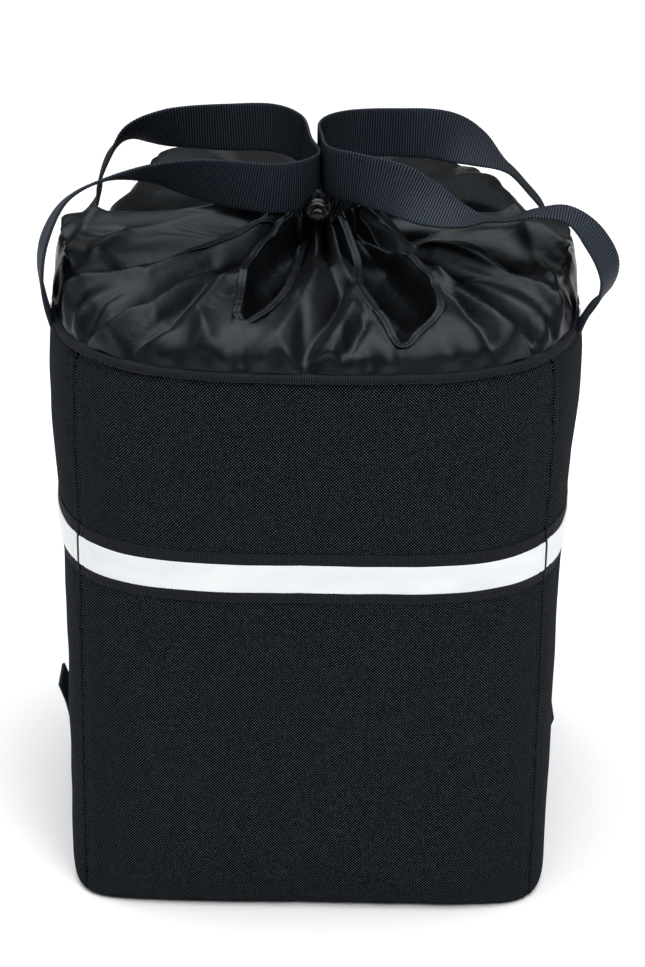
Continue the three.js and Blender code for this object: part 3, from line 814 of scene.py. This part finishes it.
def panel_grid(side, offsets, heights, lift):
    """Points on a panel's relief and their cloth coordinates; offsets run from -1 to 1, seam to seam."""
    points = np.empty((len(heights), len(offsets), 3))
    uv = np.empty((len(heights), len(offsets), 2))
    for j, z in enumerate(heights):
        angle, along = panel_lines(side, z)
        length = along[-1]
        at = length / 2 + offsets * (length / 2 - SEAM_HALF_GAP)
        inset = relief(side, at, length, z) - np.broadcast_to(lift, len(heights))[j]
        points[j] = skin(np.interp(at, along, angle), z, inset)
        uv[j] = np.stack([at - length / 2, np.full(len(at), z)], axis=1)
    return points, uv


def add_panels():
    for side, node in PANEL_NODES.items():
        outside, uv = panel_grid(side, PANEL_OFFSETS, PANEL_ROWS, 0.0)
        angle = np.arctan2(outside[..., 1], outside[..., 0])
        inside = np.stack([skin(row, z, WALL) for row, z in zip(angle, PANEL_ROWS)])
        points, faces = shell(outside, inside)
        piece = add_piece(f"{node}_padded", points, faces, OXFORD, [uv, uv], node)


def add_bottom():
    """Floor of the bag: a stiff padded board with a rounded edge, flat where it rests."""
    edge = skin(round_angles(BOARD_SIDES), 0.0, WALL + BOARD_GAP)
    rings = [edge * (share, share, 0) + (0, 0, z) for share, z in BOARD_RINGS]
    points = np.vstack([*rings, (0, 0, 0), (0, 0, WALL)])
    under, over = len(points) - 2, len(points) - 1
    grid = point_numbers(len(rings), BOARD_SIDES, ring=True)
    first, last = grid[0].tolist(), grid[-1].tolist()
    fans = [(under, j, i) for i, j in zip(first, first[1:])] + [(over, i, j) for i, j in zip(last, last[1:])]
    faces = grid_faces(grid).tolist() + fans
    uv = points[:, :2]
    piece = add_piece("bottom_board", points, faces, OXFORD, uv, "bottom_panel")


# Tapes on the body

def add_strip(side, name, size, material, node):
    """A strip across one panel, with rounded edges."""
    half, low = size["tall"] / 2, size["low"]
    steps, shares = STRIP_EDGE.T
    flat = half - STRIP_FLAT_IN
    rows = np.concatenate([steps - half, np.linspace(-flat, flat, STRIP_FLAT_ROWS), (half - steps)[::-1]])
    rounding = np.concatenate([shares, np.ones(STRIP_FLAT_ROWS), shares[::-1]])
    heights = TAPE_Z + TAPE_SHIFT.get(side, 0) + rows
    offsets = PANEL_OFFSETS * size["reach"]
    outside, uv = panel_grid(side, offsets, heights, low + (size["high"] - low) * rounding)
    inside, _ = panel_grid(side, offsets, heights, low)
    points, faces = shell(outside, inside)
    add_piece(name, points, faces, material, [uv, uv], node)


def add_tapes():
    for side in PANELS:
        tape, reflector = f"tape_{side}", f"reflector_{side}"
        add_strip(side, f"{tape}_woven", TAPE, GROSGRAIN, tape)
        add_strip(side, f"{reflector}_strip", REFLECTOR, REFLECTIVE, reflector)


def rim_loop(count, inset):
    """Angles at even steps of length round the rim, and the lengths."""
    angle = np.linspace(0, TAU, RIM_SAMPLES)
    along = arc_length(skin(angle, RIM_Z, inset))
    at = np.linspace(0, along[-1], count, endpoint=False)
    return np.interp(at, along, angle), at


def add_binding():
    """Ribbed tape folded over the rim."""
    angle, at = rim_loop(BINDING_COLUMNS, 0.0)
    turn = np.arange(len(at)) / len(at)
    wander, swell = ring_ripple(turn, *BINDING_WANDER), ring_ripple(turn, *BINDING_SWELL)
    points = np.empty((len(BINDING_PROFILE), len(at), 3))
    for row, (lift, z) in zip(points, BINDING_PROFILE):
        row[:] = skin(angle, RIM_Z, -(lift + swell * (lift > BINDING_OUTER)))
        row[:, 2] += z + wander * (z < 0)
    uv = cloth_uv(at, arc_length(np.array(BINDING_PROFILE))[:, None], points)
    grid = point_numbers(len(points), len(at), ring=True)
    faces = grid_faces(np.vstack([grid, grid[:1]]))
    add_piece("rim_binding_tape", points, faces, GROSGRAIN, uv, "rim_binding")


# Webbing

def ribbon(name, stations, node):
    """Ribbed webbing along a smooth line through stations of a place and a direction across."""
    line, across = (catmull_rom(column, WEB_SAMPLES) for column in zip(*stations))
    count = int(arc_length(line)[-1] / RIB_PITCH * STEPS_PER_RIB)
    (line, across), at = even_steps(line, count, across)
    along = unit(np.gradient(line, axis=0))
    across = unit(across - along * np.sum(across * along, axis=1, keepdims=True))
    face = np.cross(along, across)
    half = WEB_WIDE / 2
    flat = np.linspace(WEB_FACE_IN - half, half - WEB_FACE_IN, WEB_FACE_POINTS)
    edge = np.array([half - WEB_ROUND_IN, half, half - WEB_ROUND_IN])
    level = np.concatenate([np.ones(len(flat)), [WEB_ROUND_LEVEL, 0, -WEB_ROUND_LEVEL]])
    sides, level = np.concatenate([flat, edge, flat[::-1], -edge]), np.concatenate([level, -level])
    thick = (WEB_THICK / 2 - RIB_HIGH + RIB_HIGH * np.cos(TAU * at / RIB_PITCH)[:, None]) * level
    points = line[:, None] + across[:, None] * sides[:, None] + face[:, None] * thick[..., None]
    uv = cloth_uv(sides, at[:, None], points)
    add_piece(name, points, tube_faces(count, len(sides)), WEBBING, uv, node)


def add_webbing():
    for side, rows in (("left", LEFT_HANDLE), ("right", RIGHT_HANDLE)):
        stations = [((x, y, RIM_Z + rise), across) for x, y, rise, *across in rows]
        ribbon(f"{side}_handle_webbing", stations, f"{side}_handle")
    for side, rows in (("left", LEFT_STRAP), ("right", RIGHT_STRAP)):
        stations = [((x, STRAP_Y, z), (0, 1, 0)) for x, z in rows]
        ribbon(f"rack_strap_{side}_webbing", stations, f"rack_strap_{side}")


# Cord lock

def lathe(name, profile, y, node):
    """A round moulded piece on a level axis; profile rows are the radius and the place back from y."""
    angle = round_angles(LOCK_SIDES)
    round_axis = np.stack([np.cos(angle), 0 * angle, np.sin(angle)], axis=1)
    points = np.concatenate([round_axis * radius + (LOCK_X, y + back, LOCK_Z) for radius, back in profile])
    faces = tube_faces(len(profile), LOCK_SIDES, flip=True)
    add_piece(name, points, faces, PLASTIC, points[:, [0, 2]], node)


def add_lock():
    barrel = list(BARREL_FRONT)
    floor = LOCK_RADIUS - GROOVE_DEEP
    for at in GROOVES:
        barrel += [(LOCK_RADIUS, at - GROOVE_HALF), (floor, at - GROOVE_FLOOR)]
        barrel += [(floor, at + GROOVE_FLOOR), (LOCK_RADIUS, at + GROOVE_HALF)]
    lathe("cord_lock_barrel_moulded", barrel + BARREL_BACK, LOCK_FRONT, "cord_lock_barrel")
    lathe("cord_lock_button_moulded", BUTTON, LOCK_FRONT - BUTTON_GAP - BUTTON_LONG, "cord_lock_button")


def add_cord():
    """Loop of braided cord through the lock."""
    half, top = CORD_APART / 2, CORD_HIGH - CORD_APART
    out, rise = half * SHOULDER_OUT, top + half * SHOULDER_RISE
    leg = [(half, CORD_LOW), (half, top), (out, rise)]
    loop = [(-x, z) for x, z in leg] + [(0, CORD_HIGH)] + leg[::-1]
    line = catmull_rom([(LOCK_X + x, CORD_Y, RIM_Z + z) for x, z in loop], PROFILE_SAMPLES)
    (line,), at = even_steps(line, CORD_STEPS)
    level = np.array([0, 1.0, 0])
    side = np.cross(unit(np.gradient(line, axis=0)), level)
    angle = round_angles(CORD_SIDES)
    turn, twist = angle * BRAID_STRANDS, TAU * at[:, None] / BRAID_PITCH
    radius = CORD_THICK / 2 + BRAID_HIGH * np.sin(turn + twist) * np.sin(turn - twist)
    spokes = np.cos(angle)[:, None] * side[:, None] + np.sin(angle)[:, None] * level
    tube = line[:, None] + radius[..., None] * spokes
    uv = cloth_uv(angle * CORD_THICK / 2, at[:, None], tube)
    add_piece("drawcord_braided", tube, tube_faces(len(at), CORD_SIDES), THREAD, uv, "drawcord")


# Gathered collar

def settle(start, rest, faces, pinned):
    """Cloth simulation from start, with the lengths of rest, pinned points held. Points in millimetres."""
    mesh = bpy.data.meshes.new("settling")
    mesh.from_pydata((start.reshape(-1, 3) * SIM_SCALE).tolist(), [], faces.tolist())
    cloth = add_object("settling", mesh)
    cloth.shape_key_add(name="start")
    cut = cloth.shape_key_add(name="cut")
    cut.data.foreach_set("co", (rest * SIM_SCALE).astype(np.float32).ravel())
    group = cloth.vertex_groups.new(name="held")
    group.add(pinned.tolist(), 1.0, "REPLACE")
    modifier = cloth.modifiers.new("cloth", "CLOTH")
    settings = modifier.settings
    for key, value in SIM_CLOTH.items():
        setattr(settings, key, value)
    settings.vertex_group_mass = "held"
    settings.rest_shape_key = cut
    settings.effector_weights.gravity = 0.0
    modifier.collision_settings.use_collision = False
    modifier.point_cache.frame_end = SIM_FRAMES
    scene = bpy.context.scene
    for step in range(1, SIM_FRAMES + 1):
        scene.frame_set(step)
    settled = cloth.evaluated_get(bpy.context.evaluated_depsgraph_get()).data
    points = np.empty(start.size, np.float32)
    settled.vertices.foreach_get("co", points)
    bpy.data.objects.remove(cloth)
    scene.frame_set(1)
    return points.reshape(start.shape).astype(float) / SIM_SCALE


def along_line(spots, line):
    """Distance of spots from a line of places in plan, and the line's other values at the nearest point."""
    line = np.asarray(line, float)
    nearest = np.full(spots.shape[:-1], np.inf)
    carried = np.zeros((*spots.shape[:-1], line.shape[1] - 2))
    for a, b in zip(line[:-1], line[1:]):
        step = b[:2] - a[:2]
        t = np.clip((spots - a[:2]) @ step / (step @ step), 0, 1)
        away = np.linalg.norm(spots - a[:2] - t[..., None] * step, axis=-1)
        closer = away < nearest
        nearest = np.where(closer, away, nearest)
        carried = np.where(closer[..., None], a[2:] + t[..., None] * (b[2:] - a[2:]), carried)
    return nearest, carried


def fold_rise(spots, sharp):
    """Rise of folds and pockets at places in plan: soft, or the part too sharp for the simulation."""
    rise = np.zeros(spots.shape[:-1])
    for half, height, line in FOLD_LINES:
        away, _ = along_line(spots, line)
        rise += crease(away, SHARP_RISE * height, SHARP_WIDE * half) if sharp else dent(away, height, half)
    for line in POCKETS:
        away, carried = along_line(spots, line)
        half, deep = carried[..., 0], carried[..., 1]
        if sharp:
            rise -= STEEP_DEEP * deep * (1 - smoothstep(away / half, *POCKET_STEEP))
        else:
            rise -= deep * (1 - smoothstep(away / half, *POCKET_SOFT))
            rise += dent(away - half * LIP_OUT, LIP_RISE, LIP_HALF)
    return rise


def collar_start():
    """The gathered collar before it settles, as a grid from rim to neck, with lengths round and up it."""
    angle, at = rim_loop(COLLAR_COLUMNS, COLLAR_INSET)
    rim = skin(angle, RIM_Z, COLLAR_INSET)
    radius = np.hypot(rim[:, 0], rim[:, 1])
    back = monotone(np.radians(COLLAR_STANDS[:, 0]), COLLAR_STANDS[:, 1])(angle % TAU)
    front = np.exp(-((angle - FRONT_MIDDLE) / FRONT_HALF) ** 4)
    front_line, back_line = (catmull_rom(COLLAR_PROFILE[:, [0, k]], PROFILE_SAMPLES) for k in (1, 2))
    ridges = np.radians(np.array(FOLD_RIDGES, float))
    valleys = (ridges + np.append(ridges[-1] - TAU, ridges[:-1])) / 2
    edges = np.append(valleys, valleys[0] + TAU)
    wrapped = np.where(angle < edges[0], angle + TAU, angle)
    fold = np.searchsorted(edges, wrapped, side="right") - 1
    spread = edges[fold + 1] - edges[fold]
    zigzag = 1 - np.abs(2 * (wrapped - edges[fold]) / spread - 1)
    zigzag = smoothstep(zigzag, -GATHER_ROUND, 1 + GATHER_ROUND)
    start = np.empty((COLLAR_ROWS + 1, COLLAR_COLUMNS, 3))
    tall = np.empty(COLLAR_COLUMNS)
    for i in range(COLLAR_COLUMNS):
        line = front_line * (1 - back[i]) + back_line * back[i]
        flat = np.column_stack([radius[i] + (NECK_RADIUS - radius[i]) * line[:, 0], line[:, 1]])
        (mean,), lengths = even_steps(flat, COLLAR_ROWS + 1)
        normal = unit(np.gradient(mean, axis=0)[:, ::-1] * (1, -1))
        half = GATHER_ANGLE / 2
        deep = np.sqrt(np.maximum((radius[i] * half) ** 2 - (mean[:, 0] * half) ** 2, 0))
        share = lengths / lengths[-1]
        calm = 1 - (CALM_ROUND + CALM_FRONT * front[i]) * (1 - smoothstep(share, *CALM_ENDS))
        shift = deep * (zigzag[i] - 0.5) * smoothstep(share, *GATHER_GROWS) * calm
        spot = mean + normal * shift[:, None]
        start[:, i, :2] = spot[:, :1] * (math.cos(angle[i]), math.sin(angle[i]))
        start[:, i, 2] = RIM_Z + spot[:, 1]
        tall[i] = lengths[-1]
    loose = np.ones(COLLAR_ROWS + 1)
    loose[[0, -2, -1]] = 0
    start[..., 2] += fold_rise(start[..., :2], sharp=False) * loose[:, None]
    return start, at, float(np.mean(tall))


def mean_of(grid, around, up):
    """A ring grid smoothed by passes round it and up it, its first and last rows held."""
    for _ in range(around):
        grid = (np.roll(grid, 1, axis=1) + 2 * grid + np.roll(grid, -1, axis=1)) / 4
    for _ in range(up):
        inner = (grid[:-2] + 2 * grid[1:-1] + grid[2:]) / 4
        grid = np.concatenate([grid[:1], inner, grid[-1:]])
    return grid


def finer(grid, seam=0.0):
    """A ring grid with twice the rows and columns; seam is what its first value gains in a turn."""
    turn = np.zeros(grid.shape[-1])
    turn[0] = seam
    before = np.roll(grid, 1, axis=1)
    before[:, 0] -= turn
    after = np.roll(grid, -1, axis=1)
    after[:, -1] += turn
    beyond = np.roll(grid, -2, axis=1)
    beyond[:, -2:] += turn
    between = (9 * (grid + after) - before - beyond) / 16
    wide = np.stack([grid, between], axis=2).reshape(grid.shape[0], -1, grid.shape[-1])
    padded = np.concatenate([2 * wide[:1] - wide[1:2], wide, 2 * wide[-1:] - wide[-2:-1]])
    tall = np.empty((2 * wide.shape[0] - 1, *wide.shape[1:]))
    tall[::2] = wide
    tall[1::2] = (9 * (padded[1:-2] + padded[2:-1]) - padded[:-3] - padded[3:]) / 16
    return tall


def add_collar():
    """Thin cloth, gathered, creased by a short simulation and kept near the gathered shape."""
    start, at, tall = collar_start()
    rows, columns = start.shape[:2]
    points = start
    grid = point_numbers(rows, columns, ring=True)
    pinned = grid[[0, -2, -1], :-1].ravel()
    drift = settle(start, start * COLLAR_SLACK, grid_faces(grid), pinned) - start
    points = start + SIM_KEPT * (drift - SWELL_OUT * mean_of(drift, *SWELL_PASSES))
    length = np.linspace(0, tall, rows)
    uv = cloth_uv(at, length[:, None], points)
    points, uv = finer(points), finer(uv, seam=at[-1] + at[1])
    share = np.linspace(0, 1, len(points))[:, None]
    points[..., 2] += fold_rise(points[..., :2], sharp=True) * within(share, *SHARP_SPAN)
    turn = np.arange(points.shape[1]) / points.shape[1]
    pucker = ring_ripple(turn, *COLLAR_PUCKER) * within(share, *PUCKER_SPAN)
    points[..., :2] *= (1 + pucker / COLLAR_MEAN_RADIUS)[..., None]
    lift = ring_normals(points) * COLLAR_THICK / 2
    # The under side has every other row, to spare faces where they don't show
    solid, faces = shell(points + lift, (points - lift)[::2], ring=True)
    uv = np.vstack([uv.reshape(-1, 2), uv[::2].reshape(-1, 2)])
    piece = add_piece("collar_cloth", solid, faces, TAFFETA, uv, "collar")
    return BVHTree.FromPolygons(solid.tolist(), faces.tolist())


def pocket_edge(stations):
    """Line in plan round a pocket's edge, out one side to its tip and back by the other."""
    stations = np.array(stations, float)
    spread = catmull_rom(stations[:, :2], POCKET_SAMPLES)
    half = np.interp(np.linspace(0, 1, POCKET_SAMPLES), np.linspace(0, 1, len(stations)), stations[:, 2])
    along = unit(np.gradient(spread, axis=0))
    off = half * HEM_PAST + HEM_WIDE / 2 - HEM_INSIDE
    out = np.stack([-along[:, 1], along[:, 0]], axis=1) * off[:, None]
    tip = spread[-1:] + along[-1:] * HEM_WIDE * HEM_TIP
    return np.concatenate([spread - out, tip, (spread + out)[::-1]])


def drape(line, collar):
    """A line in plan laid on the collar: places, directions along and directions out of the cloth."""
    line = catmull_rom(line, DRAPE_SAMPLES)
    (line,), _ = even_steps(line, max(DRAPE_LEAST, int(arc_length(line)[-1] / DRAPE_STEP)))
    hits = [collar.ray_cast(Vector((x, y, DRAPE_FROM)), Vector((0, 0, -1)))[0] for x, y in line]
    z = np.array([DRAPE_MISSED if hit is None else hit.z for hit in hits])
    for _ in range(DRAPE_PASSES):
        z[1:-1] = np.maximum(z[1:-1] - DRAPE_SINK, (z[:-2] + 2 * z[1:-1] + z[2:]) / 4)
    line = np.column_stack([line, z])
    along = unit(np.gradient(line, axis=0))
    return line, along, np.cross(along, unit(np.cross((0, 0, 1.0), along)))


def add_hem(collar):
    """Casing at the collar's hem, a narrow stitched band where it shows beside the gather."""
    sewn, points, faces, uvs, count = [], [], [], [], 0
    wide, thick = HEM_PROFILE[:, 0] * HEM_WIDE, HEM_PROFILE[:, 1] * HEM_THICK
    for line in [pocket_edge(stations) for stations in POCKETS] + HEM_LINES:
        spots, along, up = drape(line, collar)
        across = np.cross(up, along)
        length = arc_length(spots)
        taper = HEM_END + (1 - HEM_END) * smoothstep(length[-1] - length, 0, HEM_TAPER)
        section = across[:, None] * wide[:, None] + up[:, None] * thick[:, None]
        band = spots[:, None] + section * taper[:, None, None]
        faces += tube_faces(len(spots), len(wide), count, flip=True)
        uvs.append(cloth_uv(length[:, None], wide, band).reshape(-1, 2))
        points.append(band.reshape(-1, 3))
        count += len(points[-1])
        sewn.append((spots + up * HEM_THICK * HEM_LIFT, up))
    add_piece("collar_hem", np.concatenate(points), faces, TAFFETA, np.concatenate(uvs))
    return sewn


# Thread

def add_stitches(name, rows, size=STITCH):
    """Sewn rows: each is points along a line and the directions out of the cloth there."""
    thick, long, pitch = size
    angle = round_angles(STITCH_SIDES)[:, None]
    points, faces = [], []
    for line, out in rows:
        length = arc_length(line)
        for place in np.arange(pitch / 2, length[-1] - pitch / 2, pitch):
            a, b = (values_at(place + end, length, line) for end in (-long / 2, long / 2))
            up = values_at(place, length, out)
            side, up = unit(np.cross(up, b - a)), unit(up)
            ring = (np.cos(angle) * side + np.sin(angle) * up * STITCH_FLAT) * thick / 2
            faces += tube_faces(len(STITCH_RINGS), STITCH_SIDES, len(points) * STITCH_SIDES, flip=True)
            for share, swell in STITCH_RINGS:
                sink = up * thick * (STITCH_OUT - STITCH_IN * abs(share) ** 3)
                points.append((a + b) / 2 + (b - a) * share + sink + ring * swell)
    add_piece(name, np.concatenate(points), faces, THREAD)


def outward(points):
    """A row to sew through points, with its level directions out of the body."""
    line = points.reshape(-1, 3)
    return line, unit(line * (1, 1, 0))


def add_sewing(hem_rows):
    clear = TAPE["tall"] / 2 + TAPE_CLEAR
    below, above = SEAM_ROW[SEAM_ROW < TAPE_Z - clear], SEAM_ROW[SEAM_ROW > TAPE_Z + clear]
    seams, tapes = [], []
    for side in PANELS:
        for offset in (-1, 1):
            place = np.array([offset * (1 - TOPSTITCH_OFF / PANEL_HALF)])
            seams += [outward(panel_grid(side, place, part, SEAM_LIFT)[0]) for part in (below, above)]
        for row in (-TAPE_STITCH_OFF, TAPE_STITCH_OFF):
            height = np.array([TAPE_Z + TAPE_SHIFT.get(side, 0) + row])
            tapes.append(outward(panel_grid(side, TAPE_ROW, height, TAPE_LIFT)[0]))
    angle, _ = rim_loop(BINDING_ROW_COLUMNS, 0.0)
    add_stitches("seam_stitches", seams)
    add_stitches("tape_stitches", tapes)
    add_stitches("binding_stitches", [outward(skin(angle, BINDING_ROW_Z, -BINDING_LIFT))])
    add_stitches("hem_stitches", hem_rows, HEM_STITCH)


add_camera()
add_studio()
add_panels()
add_bottom()
add_tapes()
add_binding()
add_webbing()
collar_surface = add_collar()
add_sewing(add_hem(collar_surface))
add_lock()
add_cord()
